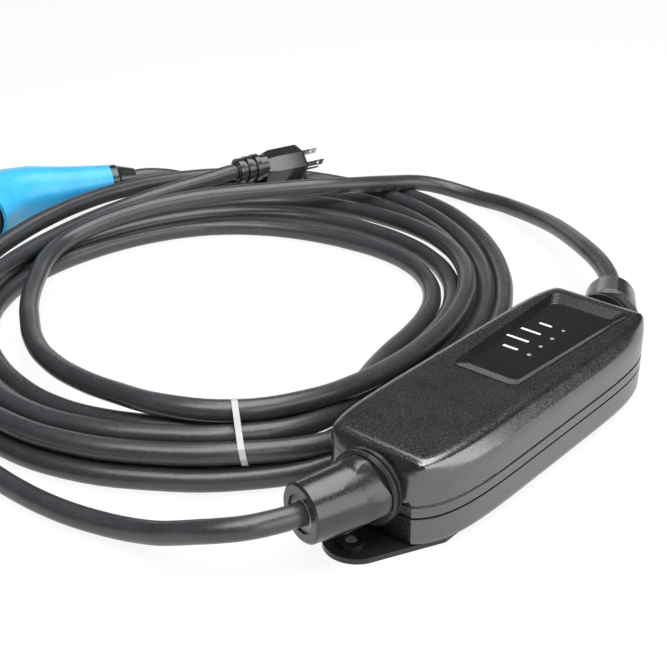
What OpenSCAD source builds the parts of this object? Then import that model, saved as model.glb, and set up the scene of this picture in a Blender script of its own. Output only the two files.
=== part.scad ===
// Portable EV charger: a control box with a cord gland at each end, a mains lead with a moulded
// plug, and a charging cable that is coiled, tied and ends in a pistol-grip connector.
// Millimetres, Z up. X runs along the box, from the mains gland towards the charging gland.
// The origin is under the middle of the box, on the surface that everything lies on.

/* [Control box] */
// Length of the box between its flat ends
box_len = 222; // [206:1:236]
// Width of the box at its middle
box_wid = 80; // [76:1:90]
// How far the bowed sides would run on past the flat ends
end_reach = 5; // [4:0.5:7]
// Wall thickness of both shells
shell_wall = 2.6; // [2:0.2:3.2]
// Height of the lower shell
lower_h = 16; // [14:0.5:18]
// Height of the upright side of the upper shell
upper_h = 21; // [20:0.5:24]
// Rise of the crowned top above the upright side
crown_h = 9; // [7:0.5:11]
// Inset of the flat top from the sides
crown_side = 6; // [5:0.5:8]
// Inset of the flat top from the mains end
crown_near = 4; // [3:0.5:6]
// Inset of the flat top from the charging end
crown_far = 6; // [4:0.5:8]
// Thickness of the gasket that shows between the shells
gasket_t = 1.2; // [0.8:0.1:1.8]
// How far the gasket lies back from the outside
gasket_sink = 0.8; // [0.4:0.1:1.2]
// Height of the fine groove above the gasket
groove_rise = 5.4; // [4:0.2:7]
// Width of the fine groove
groove_w = 0.8; // [0.4:0.1:1.2]
// Depth of the fine groove
groove_d = 0.5; // [0.3:0.1:0.8]

/* [Display] */
// Distance of the display's mains-side edge from the middle of the box
display_start = -17; // [-26:1:-12]
// Length of the display frame
display_len = 113; // [104:1:116]
// Half width of the display frame at its narrow end
display_half_near = 20; // [17:0.5:21]
// Half width of the display frame at its wide end
display_half_far = 24.5; // [21:0.5:25]
// Width of the sloping frame at the two ends
frame_end = 9; // [6:0.5:11]
// Width of the sloping frame along the sides
frame_side = 4.5; // [3:0.5:6]
// Depth of the lens below the flat top
display_sink = 2.2; // [1.4:0.2:2.6]
// Thickness of the lens
lens_t = 2; // [1.5:0.1:2.5]
// Number of status lights
led_count = 4; // [3:1:5]
// Spacing of the status lights
led_pitch = 12.3; // [10:0.1:14]
// Distance of the first status light from the middle of the box
led_start = 20; // [14:1:24]
// Distance of the row of lights from the centre line
led_side = 5; // [2:0.5:8]
// Diameter of a light pipe
pipe_d = 3.4; // [2.6:0.2:4]

/* [Mounting plate] */
// Overall length of the plate
plate_len = 278; // [268:1:290]
// Width of the plate
plate_wid = 66; // [58:1:70]
// Diameter of the plate's rounded noses
plate_nose_d = 34; // [28:1:38]
// Distance between the corners where the plate starts to narrow
plate_body_len = 194; // [184:1:200]
// Radius of those corners
plate_corner_r = 5; // [3:0.5:7]
// Thickness of the plate
plate_t = 3; // [2:0.5:4]
// Distance between the two wall holes
hole_pitch = 252; // [250:1:256]
// Diameter of a wall hole
hole_d = 6.5; // [5:0.5:8]
// Outside diameter of the raised rim round a wall hole
hole_rim_d = 14; // [11:0.5:16]
// Height of the raised rim above the plate
hole_rim_h = 2; // [1:0.5:2.5]

/* [Fasteners] */
// Distance between the case screws along the box
case_pitch = 124; // [116:1:132]
// Distance between the case screws across the box
case_across = 57; // [54:0.5:58]
// Distance between the plate screws along the box
plate_pitch = 168; // [160:1:172]
// Distance between the plate screws across the box
plate_across = 30; // [24:1:36]
// Shank diameter of the case, plate and board screws
screw_d = 3; // [2.5:0.1:3.5]
// Head diameter of the case and plate screws
screw_head_d = 5.8; // [5:0.2:6.4]
// Clearance round a screw shank
screw_gap = 0.25; // [0.15:0.05:0.4]

/* [Cord glands] */
// Height of the gland axis above the surface
gland_z = 29.5; // [29.5:0.5:31]
// Outside diameter of the collar
collar_d = 40; // [36:0.5:42]
// Thickness of the collar
collar_t = 6; // [5:0.5:8]
// Diameter of the threaded neck that passes through the end wall
neck_d = 15; // [14.5:0.1:15.6]
// Width across the flats of the nut on the neck
nut_flats = 22; // [20:0.5:24]
// Thickness of the nut on the neck
nut_t = 5; // [4:0.5:6]
// Length of the rubber boot past the collar
boot_len = 34.5; // [30:0.5:40]
// Diameter of the boot at the collar
boot_base_d = 37; // [34:0.5:38]
// Diameter of the boot at its mouth
boot_mouth_d = 31; // [29:0.5:33]
// How far the lead bends the mains boot to the side
mains_lean = 16; // [0:1:18]
// How far the cable bends the charging boot to the side
charge_lean = 27; // [0:1:28]

/* [Circuit board] */
// Length of the circuit board
board_len = 156; // [140:1:160]
// Width of the circuit board
board_wid = 43; // [40:0.5:44]
// Thickness of the circuit board
board_t = 1.6; // [1.2:0.2:2]
// Height of the posts under the board
standoff_h = 4.4; // [4:0.2:6]
// Length of a relay
relay_len = 19; // [16:0.5:20]
// Width of a relay
relay_wid = 28; // [24:0.5:30]
// Height of a relay
relay_h = 22; // [18:0.5:24]
// Length of a terminal block along the box
terminal_len = 7; // [6:0.2:7.4]
// Width of a terminal block
terminal_wid = 24; // [22:0.5:25]
// Height of a terminal block
terminal_h = 11; // [9:0.5:13]

/* [Leads] */
// Diameter of the mains lead
mains_d = 12; // [10:0.5:12.5]
// Diameter of the charging cable
charge_d = 12.5; // [11:0.5:13]
// Height of one layer of the coil
coil_h = 13; // [12:0.5:14]

/* [Plug] */
// Length of the plug's gripping body
plug_len = 34; // [30:1:40]
// Width of the plug body from its ridge to the side of the earth pin
plug_wid = 24.5; // [24:0.5:27]
// Thickness of the plug body across the two flat blades
plug_thick = 25; // [24:0.5:28]
// Distance of the ridge from the row of flat blades
plug_ridge = 8.5; // [7:0.5:9]
// Length of the ribbed strain relief
relief_len = 25; // [22:1:32]
// Number of ribs on the strain relief
relief_ribs = 3; // [2:1:4]
// Roll of the plug where it lies on the coil
plug_roll = -62; // [-70:1:-50]

/* [Connector] */
// Length of the straight part of the grip
grip_len = 62; // [58:1:80]
// Diameter of the grip at the cable end
grip_d = 26; // [25:0.5:28]
// Diameter of the head behind the nose
head_d = 48; // [47:0.5:50]
// Wall thickness of the handle shells
handle_wall = 2.8; // [2.4:0.1:3.2]
// Angle between the grip and the nose
nose_turn = 50; // [45:1:55]
// Radius of the bend between the grip and the head
bend_r = 50; // [46:1:54]
// Outside diameter of the nose
nose_d = 43.8; // [43:0.1:44.5]
// Length of the nose past the head
nose_len = 40; // [36:1:44]
// Travel of the latch lever in degrees
latch_travel = 7; // [5:1:8]
// Diameter of the latch pin
latch_pin_d = 3; // [2.5:0.1:3.5]

/* [Hidden] */
$fn = 48;

black_plastic = [0.10, 0.10, 0.11];
black_rubber = [0.13, 0.13, 0.14];
sky_blue = [0.20, 0.66, 0.90];
bright_metal = [0.78, 0.78, 0.76];
brass_metal = [0.80, 0.66, 0.34];
white_nylon = [0.93, 0.93, 0.91];

// Heights of the stacked pieces of the box
part_z = plate_t + lower_h;
upper_z = part_z + gasket_t;
shoulder_z = upper_z + upper_h;
top_z = shoulder_z + crown_h;
floor_z = plate_t + shell_wall;
overcut = 1;

// Shape exponents of the bowed outlines
end_power = 5.4;
side_power = 3.2;
top_end_power = 6.7;
top_side_power = 4.5;
outline_steps = 72;
box_steps = 96;

// Gland places along the gland axis, counted outwards from the pad on the end of the box
pad_depth = 4;
pad_proud = 0.6;
pad_x = box_len / 2 + pad_proud;
gland_gap = 0.2;
lead_gap = 0.3;
boot_root = 2;
boot_groove = 1;
boot_bore_d = 17;
mouth_bore_d = 20;
seal_t = 5;
seal_sink = 1.5;
thumb_depth = 2.1;
thumb_tilt = 2.5;
pivot_x = pad_x + collar_t + boot_root;

// Board and what stands on it
standoff_d = 7;
board_z = floor_z + standoff_h;
board_top = board_z + board_t;
board_hole_x = board_len / 2 - 6;
board_hole_y = board_wid / 2 - 5;
terminal_x = board_len / 2 - 0.4 - terminal_len / 2;
wire_pitch = 8;
relay_at = [-38.5, -16.5];

// Screw posts
post_d = 8;
head_sink = 2.2;
pilot_d = screw_d - 0.4;
screw_bite = 8;
plate_boss_h = 5;

// Route of the mains lead, from inside the gland to the plug
mains_route = [
    [-100, 0, gland_z], [-pivot_x, 0, gland_z], boot_point(-1, mains_lean, 0.5),
    boot_point(-1, mains_lean, 1), boot_point(-1, mains_lean, 1.1), [-166, 14.8, 29.6],
    [-175.6, 22.1, 29.2], [-182.8, 31.7, 27.6], [-187.2, 42.7, 24.4], [-189.6, 54, 20],
    [-191, 65, 15.6], [-192.2, 77, 11.8], [-194, 90, 8.8], [-197, 105, 7], [-200.5, 120, 6.4],
    [-203.2, 137, 6.3], [-204.4, 155, 6.3], [-204.4, 172, 6.4], [-204.4, 190, 8], [-204, 208, 11.5],
    [-202, 226, 15.5], [-198, 244, 18.8], [-190, 263, 20], [-177, 283, 20], [-160, 302, 20],
    [-139, 320, 20], [-115, 336, 20], [-89, 350, 20], [-61, 362, 20], [-32, 372, 20],
    [-2, 379, 20], [28, 383.6, 20], [52, 385.6, 20], [73, 385.3, 20.4], [91, 382.6, 21.6],
    [107, 378.2, 23.2], [122, 372.2, 25.2], [136, 365.6, 27.4], [147.5, 359.9, 29.4],
    [155.5, 356.6, 30.7], [163, 354, 31]
];

// Route of the charging cable from inside its gland to the edge of the coil
charge_route = [
    [100, 0, gland_z], [pivot_x, 0, gland_z], boot_point(1, charge_lean, 0.5),
    boot_point(1, charge_lean, 1), boot_point(1, charge_lean, 1.25), [171, 27.5, 29.5], [183, 37, 29],
    [197, 51, 27.8], [213, 69.5, 25.4], [228, 87, 22.4], [242, 104, 19.4], [257, 124, 15.6],
    [270, 145, 12], [281.5, 168, 8.8], [289, 190, 6.9], [291.5, 208, 6.5], [290.5, 224, 6.5],
    [286, 241, 6.5], [277, 259, 6.5], [264, 275, 6.5], [248, 288.5, 6.5], [230, 299, 6.5],
    [211, 306, 6.5], [194, 309, 6.5]
];

// Route of the charging cable from the edge of the coil to the connector
tail_route = [
    [186, 350, 6.5], [184, 366, 7], [177, 381, 9], [166, 393, 12], [151, 402, 17], [137, 408.8, 21.5],
    [124, 414.9, 24], [112, 420.5, 24]
];
lead_sides = 10;

// Coil: turns between an inner and an outer oval, drawn together at the tie
coil_centre = [30, 236];
coil_turn = 27;
coil_long_in = 138;
coil_long_out = 222;
coil_short_in = 132;
coil_short_out = 172;
coil_in = -0.1;
coil_out = 1.15;
coil_back = 0.52;
box_gap = 6;
back_angle = 85;
tie_angle = 226;
tie_r = 211;
tie_sharpness = 12;
bundle_slots = [[-19, 30], [-5.5, 7.9], [-8, 20], [13.2, 18.8], [7, 7.9], [19.5, 7.9]];
bundle_len = 60;
bundle_wid = 51;
strap_w = 5;
strap_t = 1.4;
strap_gap = 0.1;
strap_head = [9, 7, 6];

// Plug place and fittings
plug_place = [163, 354, 31];
plug_heading = -19;
plug_ridge_rise = 4.2;
blade_pitch = 12.7;
blade_len = 17;
blade_w = 6.35;
blade_t = 1.5;
blade_root = 6;
earth_d = 4.8;
earth_len = 20;
earth_side = 11.9;

// Connector place and fittings
connector_place = [97, 427.5, 24];
connector_heading = 155;
head_straight = 16;
boot_out = 20;
boot_in = 10;
nose_wall = 2.4;
nose_root = 9;
contact_r = 12.2;
contact_angles = [30, 150, 210, 270, 330];
contact_big_d = 9;
contact_small_d = 6.5;
guard_wid = 22;
guard_top = 31;
slot_w = 12.6;
slot_floor = 14;
lever_w = 11.8;
latch_at = [-18, 25];
latch_gap = 0.05;
spring_at = -36;
spring_d = 6;
spring_wire = 1.2;
spring_turns = 5;
handle_screw_at = [24, 48];

// Point on the axis of a leaning boot, at a share of its length past the bend
function boot_point(end, lean, share) =
    [end * (pivot_x + share * boot_len * cos(lean)), share * boot_len * sin(lean), gland_z];

// Superellipse with its own power for the ends and for the sides
function signed_pow(v, e) = sign(v) * pow(abs(v), e);
function bowed(half_len, half_wid, end_pow, side_pow) = [
    for (i = [0 : box_steps - 1])
        let (t = 360 * i / box_steps)
            [half_len * signed_pow(cos(t), 2 / end_pow), half_wid * signed_pow(sin(t), 2 / side_pow)]
];

// Four-sided outline with rounded corners, narrow at x0 and wide at x1
function corner_arc(x, y, r, a0) = [for (i = [0 : 5]) [x + r * cos(a0 + 18 * i), y + r * sin(a0 + 18 * i)]];
function window(x0, h0, x1, h1, r) = concat(
    corner_arc(x1 - r, h1 - r, r, 0), corner_arc(x0 + r, h0 - r, r, 90),
    corner_arc(x0 + r, r - h0, r, 180), corner_arc(x1 - r, r - h1, r, 270)
);

// Display outlines: the frame's outer edge and the lens
function display_edge(grow) = window(
    display_start - grow, display_half_near + grow,
    display_start + display_len + grow, display_half_far + grow, 5 + grow
);
function lens_edge(gap) = window(
    display_start + frame_end - gap, display_half_near - frame_side + gap,
    display_start + display_len - frame_end + gap, display_half_far - frame_side + gap, 4
);

// Oval radius of one turn of the coil, and the pull of the tie
function oval_r(f, a) =
    let (p = coil_long_in + f * (coil_long_out - coil_long_in))
    let (q = coil_short_in + f * (coil_short_out - coil_short_in))
    p * q / sqrt(pow(q * cos(a - coil_turn), 2) + pow(p * sin(a - coil_turn), 2));
function tie_pull(a) = pow((1 + cos(a - tie_angle)) / 2, tie_sharpness);
function beside_box_r(a) =
    sin(a) < -0.5 ? (coil_centre[1] - box_wid / 2 - box_gap) / -sin(a) : coil_long_out * 2;
function back_pull(a) = pow((1 + cos(a - back_angle)) / 2, 2);
function coil_edge(f, side) = [
    for (i = [0 : outline_steps - 1])
        let (a = 360 * i / outline_steps)
        let (w = tie_pull(a))
        let (free = oval_r(f - (f > 0 ? coil_back * back_pull(a) : 0), a) + side * charge_d / 2)
        let (tied = tie_r + side * bundle_wid / 2)
        let (r = min((1 - w) * free + w * tied, beside_box_r(a)))
            coil_centre + r * [cos(a), sin(a)]
];

// Tube swept along a list of points
function unit(v) = v / norm(v);
function along(path, i) = unit(path[min(i + 1, len(path) - 1)] - path[max(i - 1, 0)]);
function lead_ring(path, i, r, sides) =
    let (t = along(path, i))
    let (n = unit(cross(t, [0, 0, 1])))
    let (b = cross(n, t))
    [for (k = [0 : sides - 1]) path[i] + r * (cos(360 * k / sides) * n + sin(360 * k / sides) * b)];

// Handle stations: place, heading and the half sizes in and across its flat side
function bend_point(a) = [grip_len + bend_r * sin(a), bend_r * (1 - cos(a))];
head_front = bend_point(nose_turn) + head_straight * [cos(nose_turn), sin(nose_turn)];
handle_stations = [
    [[0, 0], 0, grip_d / 2, grip_d / 2],
    [[grip_len * 0.25, 0], 0, grip_d / 2 + 1.5, grip_d / 2 + 1.5],
    [[grip_len * 0.6, 0], 0, grip_d / 2 + 4, grip_d / 2 + 4],
    [[grip_len, 0], 0, grip_d / 2 + 8, grip_d / 2 + 8],
    [bend_point(nose_turn / 2), nose_turn / 2, head_d / 2, head_d / 2 - 1],
    [bend_point(nose_turn), nose_turn, head_d / 2 + 3, head_d / 2],
    [head_front, nose_turn, head_d / 2 + 2, head_d / 2]
];
function handle_ring(station, inset, shift) = [
    for (k = [0 : 23])
        let (u = 15 * k)
        let (h = station[1])
        let (side = (station[2] - inset) * cos(u))
        let (c = station[0] + shift * [cos(h), sin(h)] + side * [-sin(h), cos(h)])
            [c[0], c[1], (station[3] - inset) * sin(u)]
];

// Solid through a list of rings that all have the same number of points
module through_rings(rings) {
    n = len(rings[0]);
    last = len(rings) - 1;
    polyhedron(
        points = [for (ring = rings) each ring],
        faces = concat(
            [[for (k = [0 : n - 1]) k]],
            [for (i = [0 : last - 1], k = [0 : n - 1])
                [i * n + k, (i + 1) * n + k, (i + 1) * n + (k + 1) % n, i * n + (k + 1) % n]],
            [[for (k = [n - 1 : -1 : 0]) last * n + k]]
        ),
        convexity = 6
    );
}

module swept(path, r, sides) {
    through_rings([for (i = [0 : len(path) - 1]) lead_ring(path, i, r, sides)]);
}

module at_corners(along_x, along_y) {
    for (x = [-1, 1], y = [-1, 1]) {
        translate([x * along_x / 2, y * along_y / 2, 0]) children();
    }
}

// Turns a shape that was drawn along Z to lie along X
module along_x() {
    rotate([0, 90, 0]) children();
}

// Puts a gland piece, drawn outwards along X from the pad, on the charging end or the mains end
module at_gland(mains) {
    mirror([mains ? 1 : 0, 0, 0]) translate([pad_x, 0, gland_z]) children();
}

module leaning(lean) {
    translate([collar_t + boot_root, 0, 0]) rotate([0, 0, lean]) children();
}

// Outline of the box, moved inwards by an inset: bowed sides between flat ends
module box_shape(inset) {
    intersection() {
        polygon(bowed(box_len / 2 + end_reach - inset, box_wid / 2 - inset, end_power, side_power));
        square([box_len - 2 * inset, 2 * box_wid], center = true);
    }
}

// Outline of the flat top, moved inwards by an inset
module top_shape(inset) {
    half_wid = box_wid / 2 - crown_side - inset;
    intersection() {
        polygon(bowed(box_len / 2 + end_reach - inset, half_wid, top_end_power, top_side_power));
        translate([crown_near + inset - box_len / 2, -box_wid])
            square([box_len - crown_near - crown_far - 2 * inset, 2 * box_wid]);
    }
}

module slab(z) {
    translate([0, 0, z]) linear_extrude(0.02) children();
}

// Crowned top of the upper shell, from the shoulder to the flat top with its rounded edge
module crown(inset) {
    hull() {
        slab(shoulder_z - 0.02) box_shape(inset);
        slab(top_z - inset - 1) top_shape(inset - 0.6);
        slab(top_z - inset - 0.02) top_shape(inset);
    }
}

// Pads on both ends that the gland collars sit against
module gland_pads(from_z, to_z) {
    intersection() {
        for (mains = [true, false]) {
            at_gland(mains) along_x() translate([0, 0, -pad_depth]) cylinder(d = collar_d + 1, h = pad_depth);
        }
        translate([-box_len, -box_wid, from_z]) cube([2 * box_len, 2 * box_wid, to_z - from_z]);
    }
}

// Holes in the end walls for the gland necks
module gland_holes() {
    for (mains = [true, false]) {
        at_gland(mains) along_x() translate([0, 0, -pad_depth - 2])
            cylinder(d = neck_d + 2 * gland_gap, h = pad_depth + 2 + overcut);
    }
}

// Outline of the plate: a long body that narrows to a rounded nose at each end
module plate_shape() {
    hull() {
        for (x = [-1, 1]) {
            translate([x * (plate_len - plate_nose_d) / 2, 0]) circle(d = plate_nose_d);
            for (y = [-1, 1]) {
                translate([x * (plate_body_len / 2 - plate_corner_r), y * (plate_wid / 2 - plate_corner_r)])
                    circle(r = plate_corner_r, $fn = 32);
            }
        }
    }
}

module mounting_plate() {
    color(black_plastic)
    difference() {
        union() {
            linear_extrude(plate_t) plate_shape();
            for (x = [-1, 1]) {
                translate([x * hole_pitch / 2, 0, 0]) cylinder(d = hole_rim_d, h = plate_t + hole_rim_h);
            }
        }
        for (x = [-1, 1]) {
            translate([x * hole_pitch / 2, 0, -overcut]) cylinder(d = hole_d, h = plate_t + hole_rim_h + 2 * overcut);
        }
        at_corners(plate_pitch, plate_across) {
            translate([0, 0, -overcut]) cylinder(d = screw_d + 2 * screw_gap, h = plate_t + 2 * overcut);
            translate([0, 0, -overcut]) cylinder(d = screw_head_d + 2 * screw_gap, h = plate_t / 2 + overcut);
        }
    }
}

module plate_screws() {
    color(bright_metal)
    at_corners(plate_pitch, plate_across) {
        translate([0, 0, 0.2]) cylinder(d = screw_head_d, h = plate_t / 2 - 0.2);
        translate([0, 0, 0.2]) cylinder(d = screw_d, h = plate_t + shell_wall + 3);
    }
}

module lower_shell() {
    color(black_plastic)
    difference() {
        union() {
            difference() {
                union() {
                    hull() {
                        slab(plate_t) box_shape(3);
                        slab(plate_t + 1.2) box_shape(0.9);
                        slab(plate_t + 4) box_shape(0);
                    }
                    translate([0, 0, plate_t + 4]) linear_extrude(lower_h - 4) box_shape(0);
                }
                translate([0, 0, floor_z]) linear_extrude(lower_h) box_shape(shell_wall + 0.6);
            }
            gland_pads(plate_t + 1, part_z);
            at_corners(case_pitch, case_across) translate([0, 0, plate_t]) cylinder(d = post_d, h = lower_h);
            at_corners(plate_pitch, plate_across) translate([0, 0, plate_t]) cylinder(d = post_d, h = plate_boss_h);
            at_corners(2 * board_hole_x, 2 * board_hole_y)
                translate([0, 0, floor_z - 0.5]) cylinder(d = standoff_d, h = standoff_h + 0.5);
        }
        at_corners(case_pitch, case_across) {
            translate([0, 0, plate_t - overcut]) cylinder(d = screw_d + 2 * screw_gap, h = lower_h + 2 * overcut);
            translate([0, 0, plate_t - overcut]) cylinder(d = screw_head_d + 2 * screw_gap, h = head_sink + overcut);
        }
        at_corners(plate_pitch, plate_across)
            translate([0, 0, plate_t - overcut]) cylinder(d = screw_d + 0.1, h = shell_wall + 3 + overcut);
        at_corners(2 * board_hole_x, 2 * board_hole_y)
            translate([0, 0, floor_z + 0.4]) cylinder(d = screw_d + 0.1, h = standoff_h + overcut);
    }
}

module shell_gasket() {
    color([0.03, 0.03, 0.03])
    translate([0, 0, part_z])
    difference() {
        linear_extrude(gasket_t) box_shape(gasket_sink);
        translate([0, 0, -overcut]) linear_extrude(gasket_t + 2 * overcut) box_shape(shell_wall + 0.6);
    }
}

module upper_shell() {
    color(black_plastic)
    difference() {
        union() {
            difference() {
                union() {
                    translate([0, 0, upper_z]) linear_extrude(upper_h) box_shape(0);
                    crown(0);
                }
                translate([0, 0, upper_z - overcut])
                    linear_extrude(upper_h + overcut) box_shape(shell_wall);
                crown(shell_wall);
            }
            gland_pads(upper_z, shoulder_z);
            translate([0, 0, top_z - display_sink - lens_t - 2.4])
                linear_extrude(lens_t + display_sink + 1) polygon(lens_edge(2.2));
            at_corners(case_pitch, case_across)
                translate([0, 0, upper_z]) cylinder(d = post_d, h = upper_h + crown_h - shell_wall / 2);
        }
        gland_holes();
        hull() {
            translate([0, 0, top_z]) linear_extrude(0.5) polygon(display_edge(0.4));
            translate([0, 0, top_z - display_sink]) linear_extrude(0.5) polygon(lens_edge(0.5));
        }
        translate([0, 0, top_z - display_sink - lens_t])
            linear_extrude(lens_t + overcut) polygon(lens_edge(0.15));
        for (i = [0 : led_count - 1]) {
            translate([led_start + i * led_pitch, -led_side, shoulder_z])
                cylinder(d = pipe_d + 0.2, h = crown_h);
        }
        translate([0, 0, upper_z + groove_rise]) linear_extrude(groove_w) difference() {
            box_shape(-overcut);
            box_shape(groove_d);
        }
        at_corners(case_pitch, case_across)
            translate([0, 0, upper_z - overcut]) cylinder(d = pilot_d + 0.5, h = screw_bite + 2 * overcut);
    }
}

module case_screws() {
    color(bright_metal)
    at_corners(case_pitch, case_across) {
        translate([0, 0, plate_t + 0.2]) cylinder(d = screw_head_d, h = head_sink - 0.2);
        translate([0, 0, plate_t + 0.2]) cylinder(d = screw_d, h = lower_h + gasket_t - 0.2);
        translate([0, 0, plate_t + 0.2]) cylinder(d = pilot_d + 0.4, h = lower_h + gasket_t + screw_bite - 0.2);
    }
}

module display_lens() {
    color([0.02, 0.02, 0.03])
    translate([0, 0, top_z - display_sink - lens_t]) linear_extrude(lens_t) polygon(lens_edge(0));
}

module light_pipes() {
    color([0.9, 0.95, 0.9])
    for (i = [0 : led_count - 1]) {
        translate([led_start + i * led_pitch, -led_side, board_top])
            cylinder(d = pipe_d, h = top_z - display_sink - lens_t - board_top);
    }
}

module circuit_board() {
    color([0.05, 0.32, 0.16])
    difference() {
        translate([-board_len / 2, -board_wid / 2, board_z]) cube([board_len, board_wid, board_t]);
        at_corners(2 * board_hole_x, 2 * board_hole_y)
            translate([0, 0, board_z - overcut]) cylinder(d = screw_d + 2 * screw_gap, h = board_t + 2 * overcut);
    }
}

module board_screws() {
    color(bright_metal)
    at_corners(2 * board_hole_x, 2 * board_hole_y) {
        translate([0, 0, board_top]) cylinder(d = screw_head_d, h = 2);
        translate([0, 0, board_top - board_t - 3]) cylinder(d = screw_d, h = board_t + 3);
    }
}

module relays() {
    color([0.1, 0.2, 0.5])
    for (x = relay_at) {
        translate([x - relay_len / 2, -relay_wid / 2, board_top]) cube([relay_len, relay_wid, relay_h]);
    }
}

module current_transformer() {
    color([0.15, 0.15, 0.15])
    translate([4, 8, board_top + 11]) along_x() rotate_extrude() translate([8, 0]) square([4, 8], center = true);
    color([0.2, 0.2, 0.2])
    translate([0, 0, board_top]) cube([8, 16, 2]);
}

module power_module() {
    color([0.08, 0.08, 0.08])
    translate([18, 2, board_top]) cube([34, 17, 20]);
}

module terminal_blocks() {
    color([0.1, 0.5, 0.2])
    for (x = [-1, 1]) {
        difference() {
            translate([x * terminal_x - terminal_len / 2, -terminal_wid / 2, board_top])
                cube([terminal_len, terminal_wid, terminal_h]);
            for (y = [-1, 0, 1]) {
                translate([x * terminal_x, y * wire_pitch, board_top + terminal_h / 2]) cylinder(d = 4, h = terminal_h);
            }
        }
    }
}

// Gland body: threaded neck for the nut and outer collar with a groove, turned about the lead
module gland_body(lead_d) {
    bore_r = lead_d / 2 + lead_gap;
    neck_end = pad_depth + gland_gap + nut_t + 2;
    color(black_plastic)
    along_x()
    rotate_extrude()
    polygon([
        [bore_r, -neck_end], [neck_d / 2, -neck_end], [neck_d / 2, gland_gap], [collar_d / 2, gland_gap],
        [collar_d / 2, collar_t / 2 - 0.8], [collar_d / 2 - 1.2, collar_t / 2 - 0.4],
        [collar_d / 2 - 1.2, collar_t / 2 + 0.4], [collar_d / 2, collar_t / 2 + 0.8],
        [collar_d / 2, collar_t - 1], [collar_d / 2 - 1, collar_t], [bore_r, collar_t]
    ]);
}

// Rubber boot: fixed to the collar, bent to the side by the lead, with flat thumb grips
module boot(lean) {
    base_r = boot_base_d / 2;
    mouth_r = boot_mouth_d / 2;
    color(black_rubber)
    difference() {
        union() {
            translate([collar_t, 0, 0]) along_x() cylinder(r = base_r - 1.8, h = boot_root);
            intersection() {
                union() {
                    translate([collar_t + boot_root, 0, 0]) sphere(r = base_r + 0.3);
                    leaning(lean) along_x() rotate_extrude() polygon([
                        [0, -3], [base_r - 0.6, -3], [mouth_r, boot_len - 1.2], [mouth_r - 1.2, boot_len], [0, boot_len]
                    ]);
                }
                translate([collar_t + boot_groove, -50, -50]) cube([100, 100, 100]);
            }
        }
        translate([collar_t - overcut, 0, 0]) along_x() cylinder(d = boot_bore_d, h = boot_root + 2 + overcut);
        leaning(lean) along_x() translate([0, 0, -3]) cylinder(d = boot_bore_d - 0.4, h = boot_len + 3 + overcut);
        leaning(lean) along_x() translate([0, 0, boot_len - seal_t - seal_sink])
            cylinder(d = mouth_bore_d, h = seal_t + seal_sink + overcut);
        for (turn = [45 : 90 : 315]) {
            leaning(lean) rotate([turn, 0, 0]) thumb_cut();
        }
    }
}

// Flat cut that leaves a tongue-shaped grip, open towards the collar
module thumb_cut() {
    translate([0, 0, boot_base_d / 2 - 0.6 - thumb_depth]) rotate([0, -thumb_tilt, 0])
        translate([-12, -20, 0]) cube([12 + boot_len * 0.8, 40, 20]);
}

// Seal in the mouth of a boot, round the lead
module seal(lead_d, lean) {
    color([0.45, 0.45, 0.46])
    leaning(lean) along_x() translate([0, 0, boot_len - seal_t - seal_sink]) difference() {
        cylinder(d = mouth_bore_d - 0.1, h = seal_t);
        translate([0, 0, -overcut]) cylinder(d = lead_d + 2 * lead_gap, h = seal_t + 2 * overcut);
    }
}

module mains_gland_body() {
    at_gland(true) gland_body(mains_d);
}

module mains_boot() {
    at_gland(true) boot(mains_lean);
}

module mains_seal() {
    at_gland(true) seal(mains_d, mains_lean);
}

module charge_gland_body() {
    at_gland(false) gland_body(charge_d);
}

module charge_boot() {
    at_gland(false) boot(charge_lean);
}

module charge_seal() {
    at_gland(false) seal(charge_d, charge_lean);
}

// Nuts that hold the glands from inside the box
module gland_nuts() {
    color(black_plastic)
    for (mains = [true, false]) {
        at_gland(mains) along_x() translate([0, 0, -pad_depth - gland_gap - nut_t]) difference() {
            rotate(30) cylinder(d = nut_flats / cos(30), h = nut_t, $fn = 6);
            translate([0, 0, -overcut]) cylinder(d = neck_d + 0.1, h = nut_t + 2 * overcut);
        }
    }
}

module mains_lead() {
    color(black_rubber) swept(mains_route, mains_d / 2, lead_sides);
}

module charge_lead() {
    color(black_rubber) swept(charge_route, charge_d / 2, lead_sides);
}

module connector_lead() {
    color(black_rubber) swept(tail_route, charge_d / 2, lead_sides);
}

// Frame of the tie: X across the bundle and outwards, Y along the strands
module at_tie() {
    translate([coil_centre[0], coil_centre[1], 0]) rotate(tie_angle) translate([tie_r, 0, 0]) children();
}

module bundle_section(grow, length) {
    rotate([90, 0, 0]) translate([0, 0, -length / 2]) linear_extrude(length) hull() {
        for (slot = bundle_slots) {
            translate(slot) circle(d = charge_d + 2 * grow, $fn = 24);
        }
    }
}

module cable_coil() {
    color(black_rubber)
    union() {
        difference() {
            linear_extrude(coil_h) polygon(coil_edge(coil_out, 1));
            translate([0, 0, -overcut]) linear_extrude(coil_h + 2 * overcut) polygon(coil_edge(coil_in, -1));
            at_tie() translate([-bundle_wid, -strap_w / 2 - 0.5, -overcut])
                cube([2 * bundle_wid, strap_w + 1, coil_h + 2 * overcut]);
        }
        at_tie() bundle_section(0, bundle_len);
    }
}

module cable_tie() {
    outer = bundle_slots[5][0] + charge_d / 2 + strap_gap;
    color(white_nylon)
    at_tie()
    union() {
        difference() {
            bundle_section(strap_gap + strap_t, strap_w);
            bundle_section(strap_gap, strap_w + 2);
        }
        translate([outer, -strap_head[1] / 2, bundle_slots[5][1] - strap_head[2] / 2])
            cube([strap_t + strap_head[0] / 2, strap_head[1], strap_head[2]]);
    }
}

module at_plug() {
    translate(plug_place) rotate([0, 0, plug_heading]) rotate([plug_roll, 0, 0]) children();
}

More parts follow.
